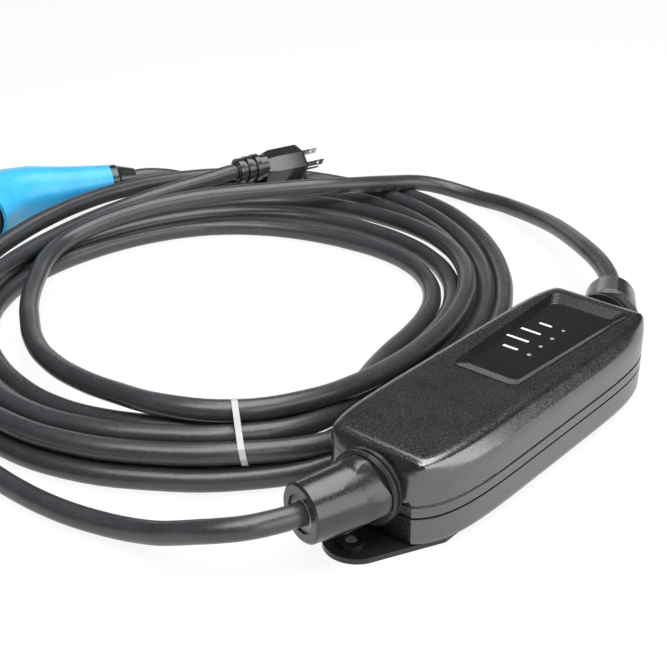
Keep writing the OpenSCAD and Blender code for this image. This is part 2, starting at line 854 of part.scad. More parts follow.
// Section of the plug body: a ridge on top, sloping shoulders and upright sides down to the earth pin
module plug_block(x, share) {
    half = plug_thick / 2;
    low = plug_wid - plug_ridge;
    translate([x, 0, 0]) along_x() linear_extrude(0.5) scale(share) polygon([
        [0, -plug_ridge], [half - 0.5, plug_ridge_rise - plug_ridge], [half, low - 5], [half - 4.5, low],
        [4.5 - half, low], [-half, low - 5], [0.5 - half, plug_ridge_rise - plug_ridge]
    ]);
}

module plug_body() {
    rib_pitch = relief_len / (relief_ribs + 0.5);
    color(black_rubber)
    at_plug()
    difference() {
        union() {
            along_x() cylinder(r1 = 8, r2 = 9.4, h = relief_len + 1);
            for (i = [0 : relief_ribs - 1]) {
                along_x() translate([0, 0, 1 + i * rib_pitch]) cylinder(r = 9.8 + 0.5 * i, h = rib_pitch * 0.55);
            }
            hull() {
                plug_block(relief_len, 0.78);
                plug_block(relief_len + 8, 0.97);
                plug_block(relief_len + plug_len - 2, 1);
                plug_block(relief_len + plug_len - 0.5, 0.95);
            }
        }
        along_x() translate([0, 0, -overcut]) cylinder(d = mains_d + 2 * lead_gap, h = 6 + overcut);
        for (side = [-1, 1]) {
            translate([relief_len + plug_len - blade_root, -blade_w / 2, side * blade_pitch / 2 - blade_t / 2])
                cube([blade_root + overcut, blade_w, blade_t]);
        }
        translate([relief_len + plug_len - blade_root, earth_side, 0]) along_x() cylinder(d = earth_d, h = blade_root + overcut);
    }
}

module plug_blades() {
    color(bright_metal)
    at_plug()
    for (side = [-1, 1]) {
        translate([relief_len + plug_len - blade_root, -blade_w / 2, side * blade_pitch / 2 - blade_t / 2])
            difference() {
                cube([blade_root + blade_len, blade_w, blade_t]);
                translate([blade_root + blade_len - 4.5, blade_w / 2, -overcut]) cylinder(d = 3, h = blade_t + 2 * overcut);
            }
    }
}

module plug_earth_pin() {
    color(bright_metal)
    at_plug() translate([relief_len + plug_len - blade_root, earth_side, 0]) along_x() union() {
        cylinder(d = earth_d, h = blade_root + earth_len - earth_d / 2);
        translate([0, 0, blade_root + earth_len - earth_d / 2]) sphere(d = earth_d);
    }
}

module at_connector() {
    translate(connector_place) rotate(connector_heading) children();
}

// Frame of the nose: X forwards out of the head, Y towards the inside of the bend
module at_nose() {
    at_connector() translate([head_front[0], head_front[1], 0]) rotate(nose_turn) children();
}

module connector_boot() {
    color(black_rubber)
    at_connector() along_x() rotate_extrude() polygon([
        [charge_d / 2 + 0.1, -boot_out], [charge_d / 2 + 1.4, -boot_out], [grip_d / 2 - 1.4, -6.5],
        [grip_d / 2 - 0.4, -5], [grip_d / 2 - 0.4, -0.2], [grip_d / 2 - handle_wall - 0.2, -0.2],
        [grip_d / 2 - handle_wall - 0.2, boot_in], [charge_d / 2 + 0.1, boot_in]
    ]);
}

module handle_body() {
    last = len(handle_stations) - 1;
    difference() {
        union() {
            at_connector() through_rings([for (s = handle_stations) handle_ring(s, 0, 0)]);
            at_nose() translate([0, 0, -guard_wid / 2]) linear_extrude(guard_wid)
                polygon([[-44, 5], [-46, -14], [-42, -26], [-33, -guard_top], [0, -guard_top], [0, 5]]);
        }
        at_connector() through_rings([
            for (i = [0 : last])
                handle_ring(handle_stations[i], handle_wall, i == 0 ? -overcut : (i == last ? overcut : 0))
        ]);
        at_nose() translate([-70, -60, -slot_w / 2]) cube([70 + overcut, 60 - slot_floor, slot_w]);
        at_nose() translate([latch_at[0], -latch_at[1], -guard_wid / 2 + 2]) cylinder(d = latch_pin_d, h = guard_wid - 4);
        at_nose() along_x() translate([0, 0, -nose_root]) cylinder(d = nose_d - 2, h = nose_root + overcut);
    }
}

// Posts that the handle screws pull together, up to a height over the parting line
module handle_posts(d, top) {
    for (x = handle_screw_at) {
        at_connector() translate([x, 0, -head_d / 2]) cylinder(d = d, h = head_d / 2 + top);
    }
}

module handle_half(upper) {
    difference() {
        intersection() {
            union() {
                handle_body();
                intersection() {
                    handle_posts(screw_head_d + 2.4, head_d / 2);
                    at_connector() through_rings([for (s = handle_stations) handle_ring(s, 1, 0)]);
                }
            }
            translate([-400, 200, upper ? connector_place[2] : -1]) cube([700, 500, connector_place[2] + 20]);
        }
        handle_posts(screw_d, 8);
    }
}

module handle_shell_upper() {
    color(sky_blue)
    handle_half(true);
}

// The screws go in from the side that lies down
module handle_shell_lower() {
    color(sky_blue)
    difference() {
        intersection() {
            handle_half(false);
            translate([-400, 200, -1]) cube([700, 500, connector_place[2] + 1]);
        }
        for (x = handle_screw_at) {
            at_connector() translate([x, 0, -17 - grip_d / 2]) cylinder(d = screw_head_d, h = 20);
        }
    }
}

module handle_screws() {
    color(bright_metal)
    at_connector()
    for (x = handle_screw_at) {
        translate([x, 0, 3 - grip_d / 2 - 1.6]) cylinder(d = screw_head_d - 0.4, h = 1.6);
        translate([x, 0, 2.9 - grip_d / 2]) cylinder(d = screw_d - 0.1, h = grip_d / 2 + 3.1);
    }
}

module connector_nose() {
    color(black_plastic)
    at_nose() along_x()
    difference() {
        union() {
            translate([0, 0, -nose_root]) cylinder(d = nose_d - 2.4, h = nose_root + 0.3);
            translate([0, 0, 0.3]) cylinder(d = nose_d, h = nose_len - 0.3);
        }
        translate([0, 0, 8]) difference() {
            cylinder(d = nose_d - 2 * nose_wall, h = nose_len);
            contact_towers(2);
        }
        translate([0, 0, -nose_root - overcut]) contact_holes();
    }
}

module contact_towers(wall) {
    for (i = [0 : len(contact_angles) - 1]) {
        rotate(contact_angles[i]) translate([contact_r, 0, 0])
            cylinder(d = (i < 3 ? contact_big_d : contact_small_d) + 2 * wall, h = nose_len - 14);
    }
}

module contact_holes() {
    for (i = [0 : len(contact_angles) - 1]) {
        rotate(contact_angles[i]) translate([contact_r, 0, 0])
            cylinder(d = i < 3 ? contact_big_d : contact_small_d, h = nose_len + 20);
    }
}

module connector_contacts() {
    color(brass_metal)
    at_nose() along_x()
    for (i = [0 : len(contact_angles) - 1]) {
        d = (i < 3 ? contact_big_d : contact_small_d) - 0.1;
        rotate(contact_angles[i]) translate([contact_r, 0, -nose_root]) difference() {
            cylinder(d = d, h = nose_root + 28);
            translate([0, 0, nose_root + 4]) cylinder(d = d - 2, h = 40);
        }
    }
}

module latch_lever() {
    color(black_plastic)
    at_nose()
    difference() {
        translate([0, 0, -lever_w / 2]) linear_extrude(lever_w) polygon([
            [36, -23.5], [36, -30], [31, -33], [-8, -33.5], [-20, -34], [-34, -35.5], [-44, -34],
            [-44, -29], [-30, -27.5], [-24, -21], [-12, -21], [-6, -27.5], [30, -27.5], [31.5, -23.5]
        ]);
        translate([latch_at[0], -latch_at[1], -lever_w]) cylinder(d = latch_pin_d + 2 * latch_gap, h = 2 * lever_w);
    }
}

module latch_pin() {
    color(bright_metal)
    at_nose() translate([latch_at[0], -latch_at[1], -guard_wid / 2 + 2]) cylinder(d = latch_pin_d, h = guard_wid - 4);
}

module latch_spring() {
    steps = 12;
    rise = 13.6;
    radius = (spring_d - spring_wire) / 2;
    path = [
        for (i = [0 : spring_turns * steps])
            let (a = 360 * i / steps)
                [radius * cos(a), radius * sin(a), spring_wire / 2 + (rise - spring_wire) * i / (spring_turns * steps)]
    ];
    color(bright_metal)
    at_nose() translate([spring_at, -slot_floor - 0.1, 0]) rotate([90, 0, 0])
        swept(path, spring_wire / 2, 6);
}

mounting_plate();
plate_screws();
lower_shell();
shell_gasket();
upper_shell();
case_screws();
display_lens();
light_pipes();
circuit_board();
board_screws();
relays();
current_transformer();
power_module();
terminal_blocks();
mains_gland_body();
mains_boot();
mains_seal();
charge_gland_body();
charge_boot();
charge_seal();
gland_nuts();
mains_lead();
plug_body();
plug_blades();
plug_earth_pin();
charge_lead();
cable_coil();
cable_tie();
connector_lead();
connector_boot();
handle_shell_upper();
handle_shell_lower();
handle_screws();
connector_nose();
connector_contacts();
latch_lever();
latch_pin();
latch_spring();
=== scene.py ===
"""Portable EV charger: camera, cords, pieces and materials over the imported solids."""

import math

import bmesh
import bpy
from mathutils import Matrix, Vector


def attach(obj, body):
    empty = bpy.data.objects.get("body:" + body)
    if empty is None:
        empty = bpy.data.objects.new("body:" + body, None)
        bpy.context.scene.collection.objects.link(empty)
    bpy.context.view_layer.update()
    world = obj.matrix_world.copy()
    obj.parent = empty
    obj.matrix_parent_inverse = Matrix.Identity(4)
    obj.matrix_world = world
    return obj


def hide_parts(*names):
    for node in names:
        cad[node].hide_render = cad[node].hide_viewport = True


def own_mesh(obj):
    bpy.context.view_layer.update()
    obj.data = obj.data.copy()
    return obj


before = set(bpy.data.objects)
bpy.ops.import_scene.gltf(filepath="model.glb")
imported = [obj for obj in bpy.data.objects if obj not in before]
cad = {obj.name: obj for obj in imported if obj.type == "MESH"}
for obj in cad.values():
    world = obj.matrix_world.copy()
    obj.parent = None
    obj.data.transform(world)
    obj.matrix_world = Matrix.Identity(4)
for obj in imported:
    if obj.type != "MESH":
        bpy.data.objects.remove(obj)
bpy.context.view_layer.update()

MM = 0.001
BODY = "charger"
# Points of a solid's mesh that lie nearer than this are one point, in metres
WELD = 0.002 * MM

# Camera: the photograph's place, in metres, its heading and its tilt, and how near and far it sees
CAMERA_PLACE = (-0.5284, -0.3264, 0.381)
CAMERA_HEADING = -50
CAMERA_TILT = 27
CAMERA_LENS = 70.2
CAMERA_SENSOR = 36
CAMERA_CLIP = (0.01, 200)

# Cords, in metres and degrees: sizes, and the glands and leaning boots that they leave by
MAINS_D = 0.012
CHARGE_D = 0.0125
GLAND_Z = 0.0295
PIVOT_X = 0.1196
BOOT_LEN = 0.0345
MAINS_LEAN = 16
CHARGE_LEAN = 27
# How fine a cord's round is, and the steps between two points of its route
CORD_ROUND = 6
CORD_STEPS = 5


def boot_point(end, lean, share):
    """Point on the axis of a leaning boot, at a share of its length past the bend."""
    turn = math.radians(lean)
    run = share * BOOT_LEN
    return (end * (PIVOT_X + run * math.cos(turn)), run * math.sin(turn), GLAND_Z)


# The mains lead: out of its boot, down to the floor, up over the back of the coil and into the plug
MAINS_ROUTE = [
    (-0.100, 0, GLAND_Z), (-PIVOT_X, 0, GLAND_Z), boot_point(-1, MAINS_LEAN, 0.5),
    boot_point(-1, MAINS_LEAN, 1), boot_point(-1, MAINS_LEAN, 1.1), (-0.166, 0.0148, 0.0296),
    (-0.1760, 0.0217, 0.0289), (-0.1835, 0.0311, 0.0271), (-0.1881, 0.0419, 0.0239),
    (-0.1905, 0.0530, 0.0195), (-0.1921, 0.0639, 0.0152), (-0.1934, 0.0758, 0.0115),
    (-0.1952, 0.0888, 0.0086), (-0.1981, 0.1038, 0.0069), (-0.2013, 0.1188, 0.0064),
    (-0.2038, 0.1361, 0.0063), (-0.2048, 0.1543, 0.0063), (-0.2046, 0.172, 0.0064),
    (-0.2044, 0.190, 0.008), (-0.204, 0.208, 0.0115), (-0.202, 0.226, 0.0155), (-0.198, 0.244, 0.0188),
    (-0.190, 0.263, 0.020), (-0.177, 0.283, 0.020), (-0.160, 0.302, 0.020), (-0.139, 0.320, 0.020),
    (-0.115, 0.336, 0.020), (-0.089, 0.350, 0.020), (-0.061, 0.362, 0.020), (-0.032, 0.372, 0.020),
    (-0.002, 0.379, 0.020), (0.028, 0.3836, 0.020), (0.052, 0.3856, 0.020), (0.073, 0.3853, 0.0204),
    (0.091, 0.3826, 0.0216), (0.107, 0.3782, 0.0232), (0.122, 0.3722, 0.0252), (0.136, 0.3656, 0.0274),
    (0.1475, 0.3599, 0.0294), (0.1555, 0.3566, 0.0307), (0.163, 0.354, 0.031),
]

# The charging cable up to the tie: along the solid's route, then over the coil and round its inside
CHARGE_ROUTE = [
    (0.100, 0, GLAND_Z), (PIVOT_X, 0, GLAND_Z), boot_point(1, CHARGE_LEAN, 0.5),
    boot_point(1, CHARGE_LEAN, 1), boot_point(1, CHARGE_LEAN, 1.25), (0.171, 0.0275, 0.0298),
    (0.183, 0.037, 0.0298), (0.197, 0.051, 0.0292), (0.213, 0.0695, 0.0274), (0.228, 0.087, 0.0246),
    (0.242, 0.104, 0.0216), (0.257, 0.124, 0.0178), (0.270, 0.145, 0.014), (0.2815, 0.168, 0.0104),
    (0.289, 0.190, 0.0080), (0.2915, 0.208, 0.0065), (0.2905, 0.224, 0.0075), (0.2855, 0.238, 0.010),
    (0.276, 0.2495, 0.0135), (0.2625, 0.2575, 0.0165), (0.246, 0.2625, 0.0195), (0.229, 0.266, 0.023),
    (0.212, 0.270, 0.026), (0.196, 0.2755, 0.0286), (0.182, 0.2825, 0.0303), (0.168, 0.2915, 0.031),
    (0.154, 0.3015, 0.031), (0.138, 0.3135, 0.031), (0.120, 0.326, 0.031), (0.090, 0.3415, 0.031),
    (0.058, 0.355, 0.029), (0.029, 0.366, 0.024), (0.0024, 0.3683, 0.0195), (-0.0214, 0.3579, 0.0185),
    (-0.0458, 0.3382, 0.0185), (-0.073, 0.312, 0.0185), (-0.0926, 0.2871, 0.0195), (-0.1089, 0.2624, 0.020),
    (-0.1226, 0.2298, 0.0225), (-0.128, 0.1964, 0.0245), (-0.127, 0.164, 0.0265), (-0.124, 0.133, 0.0297),
]

# Route from the last turn of the coil to the connector's boot
TAIL_ROUTE = [
    (0.177, 0.381, 0.009), (0.166, 0.393, 0.012), (0.151, 0.402, 0.017), (0.137, 0.4088, 0.0215),
    (0.124, 0.4149, 0.024), (0.112, 0.4205, 0.024),
]

# Coil, in metres and degrees: ovals about one centre, with the radii of the ovals 0 and 1
COIL_CENTRE = (0.030, 0.236)
COIL_TURN = 27
COIL_LONG = (0.138, 0.222)
COIL_SHORT = (0.132, 0.172)

# The tie: its heading and radius, each strand's place in it as an offset and a height,
# and how fast its pull fades before it and past it
TIE_ANGLE = 226
TIE_R = 0.211
TIE_SLOTS = {
    "first": (-0.019, 0.030), "low_in": (-0.0255, 0.0170), "mid_in": (-0.0095, 0.0205),
    "mid_out": (0.0072, 0.0200), "low_mid": (-0.003, 0.0079), "low_out": (0.0115, 0.0068),
}
PULL_BEFORE = 12
PULL_PAST = 26

# The box's side, the share of a cable's thickness kept from it, and the sine below which a heading faces it
BOX_SIDE = 0.040
BOX_GAP = 0.6
FACING_BOX = -0.5

# Heights of a strand that lies on the floor at the right, the back, the back left and the left
FLOOR_Z = 0.0066
ON_FLOOR = (FLOOR_Z, FLOOR_Z, FLOOR_Z, FLOOR_Z)
# Each turn: slots at its start and its end, the four heights, and its ovals at steps round from the tie
COIL_TURNS = [
    ("first", "mid_in", (0.0178, FLOOR_Z, 0.0174, 0.0178),
     (0.31, 0.51, 0.69, 0.44, 0.42, 0.48, 0.58, 0.72, 0.72)),
    ("mid_in", "low_in", ON_FLOOR, (0.5, 0.0, 0.14, -0.14, -0.17, -0.09, 0.44, 0.40, 0.40)),
    ("low_in", "low_mid", ON_FLOOR, (0.5, 0.27, 0.48, 0.20, 0.14, 0.20, 0.72, 0.80, 0.80)),
    ("low_mid", "mid_out", (FLOOR_Z, FLOOR_Z, FLOOR_Z, 0.0180),
     (0.7, 0.55, 0.76, 0.80, 0.74, 0.78, 1.00, 0.92, 0.92)),
    ("mid_out", "low_out", ON_FLOOR, (0.95, 0.83, 1.04, 1.04, 1.04, 1.05, 1.27, 1.0, 1.0)),
]
OVAL_STEP = 45
# Points of the route lie this far apart round the coil
TURN_STEP = 12
# The last full turn climbs over the others here: heading, how narrow, metres up and ovals inward
OVER_ANGLE = 85
OVER_NARROW = 4
OVER_LIFT = 0.019
OVER_INWARD = 0.30
# The part of a turn after it: its slot, height, ovals and end
LAST_TURN_START = "low_out"
LAST_TURN_Z = 0.0064
LAST_TURN = (1.0, 1.11, 1.32, 1.26, 0.82)
LAST_TURN_END = 168

# Display, in metres: bars as x, near y and far y; lights as x, y and width
LENS_TOP = 0.048
PRINT_T = 0.0002
BAR_WIDTH = 0.0018
DISPLAY_BARS = [
    (0.0222, 0.0034, 0.0127), (0.034, 0.0038, 0.0192), (0.0462, 0.0037, 0.0163), (0.0584, 0.0038, 0.0117),
]
DISPLAY_LIGHTS = [
    (0.0211, -0.0047, 0.0024), (0.0335, -0.0044, 0.0022),
    (0.0457, -0.0043, 0.0022), (0.0581, -0.0040, 0.002),
]
LIGHT_SIDES = 20

# Display recess, in metres: near end, far end, half widths there and corner, at the rim and at the lens
RIM_TOP = 0.0502
RIM_EDGE = (-0.0172, 0.0962, 0.0202, 0.0247, 0.005)
LENS_EDGE = (-0.0084, 0.0874, 0.0159, 0.0204, 0.004)
FRAME_T = 0.0003
CORNER_STEPS = 5

# Box top, in metres: the height of its groove and of what stays as it is above it, a height over all,
# the size of its fine mesh and the passes that round it
GROOVE_TOP = 0.0264
GROOVE_KEEP = 2 * MM
OVER_ALL = 0.1
TOP_MESH = 0.0009
TOP_PASSES = 36

# Cable tie, in metres: its loop round the bundle as offsets from the tie's radius and heights, its slant
TIE_LOOP = [
    (-0.0190, 0.0368), (-0.0240, 0.0348), (-0.0264, 0.0300), (-0.0322, 0.0205), (-0.0324, 0.0165),
    (-0.0305, 0.0120), (-0.0260, 0.0102), (-0.0075, 0.0022), (-0.0030, 0.0012), (0.0015, 0.0022),
    (0.0042, 0.0079), (0.0055, 0.0105), (0.0100, 0.0135), (0.0128, 0.0158), (0.0141, 0.0200),
    (0.0120, 0.0249), (0.0100, 0.0262), (-0.0172, 0.0366),
]
TIE_WIDTH = 0.0034
TIE_T = 0.0009
TIE_LEAN = -0.17
TIE_SHIFT = 0.0055

# Materials: the size of the broad clouds of tone in mm, and the parts of a noise that tone and shine use
CLOUD_MM = 18
TONE_SPAN = (0.35, 0.65)
SHINE_SPAN = (0.3, 0.7)

# Light: the floor's own share of white and its half width in metres, and the room's level
FLOOR_GLOW = 0.9
FLOOR_HALF = 60
WORLD_LEVEL = 0.08
# Lamps: the point they face, heading, height, distance, size and watts
LAMPS = [
    ("top_box", (-0.05, 0.15, 0.0), 330, 75, 1.5, (1.4, 1.0), 21),
    ("back_low", (0.0, 0.1, 0.03), 43, 10, 2.2, (2.2, 0.35), 4),
    ("near_top_box", (-0.12, 0.08, 0.0), 200, 68, 0.95, (0.7, 0.6), 7),
    ("back_strip", (0.03, 0.0, 0.05), 38, 54, 1.7, (0.7, 0.22), 2),
    ("right_wall", (0.0, 0.0, 0.03), -85, 20, 2.0, (3.2, 1.6), 46),
]


def oval_radius(share, angle):
    """Radius of one oval of the coil at an angle in degrees."""
    long_r = COIL_LONG[0] + share * (COIL_LONG[1] - COIL_LONG[0])
    short_r = COIL_SHORT[0] + share * (COIL_SHORT[1] - COIL_SHORT[0])
    turn = math.radians(angle - COIL_TURN)
    return long_r * short_r / math.hypot(short_r * math.cos(turn), long_r * math.sin(turn))


def near_heading(angle, power):
    """1 at an angle of 0 degrees, falling to 0 opposite it, and faster with a higher power."""
    return ((1 + math.cos(math.radians(angle))) / 2) ** power


def tie_pull(angle):
    """1 at the tie, falling to 0 away from it; shorter on the side of the box."""
    past = (angle - TIE_ANGLE + 180) % 360 - 180
    return near_heading(past, PULL_BEFORE if past < 0 else PULL_PAST)


def coil_point(share, slot, height, angle):
    """Point of a strand: on its oval, drawn to its slot near the tie, and clear of the box."""
    pull = tie_pull(angle)
    radius = (1 - pull) * oval_radius(share, angle) + pull * (TIE_R + TIE_SLOTS[slot][0])
    z = (1 - pull) * height + pull * TIE_SLOTS[slot][1]
    turn = math.radians(angle)
    if math.sin(turn) < FACING_BOX:
        radius = min(radius, (COIL_CENTRE[1] - BOX_SIDE - BOX_GAP * CHARGE_D) / -math.sin(turn))
    return (COIL_CENTRE[0] + radius * math.cos(turn), COIL_CENTRE[1] + radius * math.sin(turn), z)


def along_turn(values, step):
    """Value of a turn at a step in degrees, on a smooth curve through its values at even steps."""
    index = min(int(step // OVAL_STEP), len(values) - 2)
    part = step / OVAL_STEP - index
    before, low, high, after = (values[max(0, min(len(values) - 1, index + k))] for k in (-1, 0, 1, 2))
    return (low + 0.5 * part * (high - before + part * (
        2 * before - 5 * low + 4 * high - after + part * (3 * (low - high) + after - before))))


def coil_route():
    """Every turn from the tie round to the tie, then the part of a turn up to the connector."""
    route = []
    for index, (start, end, (right, back, turn, left), shares) in enumerate(COIL_TURNS):
        heights = (right, right, right, (right + back) / 2, back, back, turn, left, left)
        for step in range(0, 360, TURN_STEP):
            angle = TIE_ANGLE + step
            slot = start if step < 180 else end
            z = along_turn(heights, step)
            share = along_turn(shares, step)
            if index == len(COIL_TURNS) - 1:
                over = near_heading(angle - OVER_ANGLE, OVER_NARROW)
                z += OVER_LIFT * over
                share -= OVER_INWARD * over
            route.append(coil_point(share, slot, z, angle))
    for step in range(0, LAST_TURN_END, TURN_STEP):
        share = along_turn(LAST_TURN, step)
        route.append(coil_point(share, LAST_TURN_START, LAST_TURN_Z, TIE_ANGLE + step))
    return route


def into_scene(name, data):
    """Object with its data, linked into the scene."""
    made = bpy.data.objects.new(name, data)
    bpy.context.scene.collection.objects.link(made)
    return made


# Camera
camera_data = bpy.data.cameras.new("photo_camera")
camera_data.lens = CAMERA_LENS
camera_data.sensor_width = CAMERA_SENSOR
camera_data.clip_start, camera_data.clip_end = CAMERA_CLIP
camera = into_scene("photo_camera", camera_data)
camera.location = CAMERA_PLACE
camera.rotation_euler = (math.radians(90 - CAMERA_TILT), 0, math.radians(CAMERA_HEADING))
bpy.context.scene.camera = camera


def mesh_from(shape, name):
    """Mesh from a finished bmesh, which is then set free."""
    mesh = bpy.data.meshes.new(name)
    shape.to_mesh(mesh)
    shape.free()
    return mesh


def piece_from(shape, name):
    """Piece of the part from a finished bmesh, with its place in its mesh."""
    made = into_scene(name, mesh_from(shape, name))
    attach(made, BODY)
    return made


def solid_shape(*nodes):
    """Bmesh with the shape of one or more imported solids, welded along its edges."""
    shape = bmesh.new()
    for node in nodes:
        shape.from_mesh(cad[node].data)
    bmesh.ops.remove_doubles(shape, verts=shape.verts, dist=WELD)
    return shape


def smooth_copy(name, *nodes, sharp=32):
    """Moulded piece with the shape of its solids, smooth but for the edges that are sharp in the mould."""
    shape = solid_shape(*nodes)
    for face in shape.faces:
        face.smooth = True
    for edge in shape.edges:
        edge.smooth = edge.calc_face_angle(0) < math.radians(sharp)
    made = piece_from(shape, name)
    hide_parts(*nodes)
    return made


def ring_of_edges(shape, places):
    """Closed loop of edges through the places."""
    ring = [shape.verts.new(place) for place in places]
    return [shape.edges.new((a, b)) for a, b in zip(ring, ring[1:] + ring[:1])]


def thicken(shape, thickness):
    """Gives a skin its thickness, with all faces outward."""
    bmesh.ops.recalc_face_normals(shape, faces=shape.faces)
    bmesh.ops.solidify(shape, geom=shape.faces[:], thickness=thickness)
    bmesh.ops.recalc_face_normals(shape, faces=shape.faces)


def cord_curve(name, route, diameter):
    """Round cord: one open smooth spline through the points of its route."""
    curve = bpy.data.curves.new(name, "CURVE")
    curve.dimensions = "3D"
    # The cord's radius is set on its points
    curve.bevel_depth = 1
    curve.bevel_resolution = CORD_ROUND
    curve.resolution_u = CORD_STEPS
    curve.use_fill_caps = True
    spline = curve.splines.new("BEZIER")
    spline.bezier_points.add(len(route) - 1)
    for point, place in zip(spline.bezier_points, route):
        point.co = place
        point.radius = diameter / 2
        point.handle_left_type = "AUTO"
        point.handle_right_type = "AUTO"
    made = into_scene(name, curve)
    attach(made, BODY)
    return made


def tie_strip():
    """Flat strip of the cable tie: its loop round the bundle, with a slant, drawn out to its width."""
    shape = bmesh.new()
    turn = math.radians(TIE_ANGLE)
    places = []
    for offset, height in TIE_LOOP:
        radius = TIE_R + offset
        aside = TIE_SHIFT + TIE_LEAN * height - TIE_WIDTH / 2
        places.append((
            COIL_CENTRE[0] + radius * math.cos(turn) - aside * math.sin(turn),
            COIL_CENTRE[1] + radius * math.sin(turn) + aside * math.cos(turn), height))
    drawn = bmesh.ops.extrude_edge_only(shape, edges=ring_of_edges(shape, places))
    side = [part for part in drawn["geom"] if isinstance(part, bmesh.types.BMVert)]
    way = (-TIE_WIDTH * math.sin(turn), TIE_WIDTH * math.cos(turn), 0)
    bmesh.ops.translate(shape, vec=way, verts=side)
    thicken(shape, TIE_T)
    made = piece_from(shape, "tie_strip")
    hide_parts("cable_tie")
    return made


# Cords and what is on their ends
mains_cord = cord_curve("mains_cord", MAINS_ROUTE, MAINS_D)
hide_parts("mains_lead")
charge_cord = cord_curve("charge_cord", CHARGE_ROUTE + coil_route() + TAIL_ROUTE, CHARGE_D)
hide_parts("charge_lead", "cable_coil", "connector_lead")

mains_boot = smooth_copy("mains_boot_moulding", "mains_boot")
charge_boot = smooth_copy("charge_boot_moulding", "charge_boot")
plug = smooth_copy("plug_moulding", "plug_body")
grip_boot = smooth_copy("grip_boot_moulding", "connector_boot")
tie = tie_strip()
handle = smooth_copy("handle_moulding", "handle_shell_upper", "handle_shell_lower", sharp=40)
spring = smooth_copy("latch_spring_coil", "latch_spring", sharp=70)
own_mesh(spring)


def in_display(place):
    """True for a point of the display's recess."""
    near, far, half_near, half_far = RIM_EDGE[:4]
    half = half_near + (half_far - half_near) * (place.x - near) / (far - near)
    return near - MM < place.x < far + MM and abs(place.y) < half + MM


def add_block(shape, size, centre):
    """Adds a rectangular block to a bmesh."""
    made = bmesh.ops.create_cube(shape, size=1)
    bmesh.ops.scale(shape, vec=size, verts=made["verts"])
    bmesh.ops.translate(shape, vec=centre, verts=made["verts"])


def shell_slice(node, low, high, mesh_size=0):
    """Mesh of a solid between two heights, made even and fine if a mesh size is given."""
    shape = bmesh.new()
    add_block(shape, (1, 1, high - low), (0, 0, (low + high) / 2))
    knife = into_scene("knife", mesh_from(shape, "knife"))
    blank = into_scene("blank", mesh_from(solid_shape(node), "blank"))
    cut = blank.modifiers.new("cut", "BOOLEAN")
    cut.operation = "INTERSECT"
    cut.solver = "EXACT"
    cut.object = knife
    if mesh_size:
        fine = blank.modifiers.new("fine_mesh", "REMESH")
        fine.mode = "VOXEL"
        fine.voxel_size = mesh_size
    graph = bpy.context.evaluated_depsgraph_get()
    made = bpy.data.meshes.new_from_object(blank.evaluated_get(graph))
    bpy.data.objects.remove(blank)
    bpy.data.objects.remove(knife)
    return made


def rounded_top(name, node):
    """Upper shell with a rounded crown: fine and smoothed above the groove, but for the display."""
    shape = bmesh.new()
    shape.from_mesh(shell_slice(node, GROOVE_TOP, OVER_ALL, TOP_MESH))
    free = [v for v in shape.verts if v.co.z > GROOVE_TOP + GROOVE_KEEP and not in_display(v.co)]
    for _ in range(TOP_PASSES):
        bmesh.ops.smooth_vert(
            shape, verts=free, factor=0.5, use_axis_x=True, use_axis_y=True, use_axis_z=True)
    for face in shape.faces:
        face.smooth = True
    shape.from_mesh(shell_slice(node, 0, GROOVE_TOP))
    made = piece_from(shape, name)
    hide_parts(node)
    return made


def window_loop(shape, edge, height):
    """Closed loop of edges: four sides with rounded corners."""
    near, far, half_near, half_far, corner = edge
    corners = [(far, half_far, 0), (near, half_near, 90), (near, -half_near, 180), (far, -half_far, 270)]
    places = []
    for x, y, start in corners:
        mid_x = x - math.copysign(corner, 1 if x == far else -1)
        mid_y = y - math.copysign(corner, y)
        for step in range(CORNER_STEPS + 1):
            turn = math.radians(start + 90 / CORNER_STEPS * step)
            places.append((mid_x + corner * math.cos(turn), mid_y + corner * math.sin(turn), height))
    return ring_of_edges(shape, places)


def display_frame():
    """Sloping frame from the rim of the recess down to the lens."""
    shape = bmesh.new()
    rim = window_loop(shape, RIM_EDGE, RIM_TOP + FRAME_T)
    inner = window_loop(shape, LENS_EDGE, LENS_TOP + FRAME_T)
    bmesh.ops.bridge_loops(shape, edges=rim + inner)
    thicken(shape, FRAME_T)
    return piece_from(shape, "display_frame")


def display_bars():
    """Plain printed bars beside the lights."""
    shape = bmesh.new()
    for x, y_near, y_far in DISPLAY_BARS:
        add_block(shape, (BAR_WIDTH, y_far - y_near, PRINT_T), (x, (y_near + y_far) / 2, LENS_TOP))
    return piece_from(shape, "display_bars")


def display_lights():
    """Round windows of the status lights, a little proud of the lens."""
    shape = bmesh.new()
    for x, y, width in DISPLAY_LIGHTS:
        made = bmesh.ops.create_cone(
            shape, cap_ends=True, segments=LIGHT_SIDES, radius1=width / 2, radius2=width / 2,
            depth=2 * PRINT_T)
        bmesh.ops.translate(shape, vec=(x, y, LENS_TOP), verts=made["verts"])
    return piece_from(shape, "display_lights")


# The box, its plate, its glands and its display
box_top = rounded_top("box_top_moulding", "upper_shell")
box_base = smooth_copy("box_base_moulding", "lower_shell", sharp=28)
plate = smooth_copy("plate_moulding", "mounting_plate")
mains_gland = smooth_copy("mains_gland_moulding", "mains_gland_body")
charge_gland = smooth_copy("charge_gland_moulding", "charge_gland_body")
frame_ring = display_frame()
bars = display_bars()
lights = display_lights()


def linear(hex_code):
    """Linear RGBA of an sRGB hex colour."""
    parts = [int(hex_code[i:i + 2], 16) / 255 for i in (1, 3, 5)]
    return tuple(c / 12.92 if c <= 0.04045 else ((c + 0.055) / 1.055) ** 2.4 for c in parts) + (1.0,)


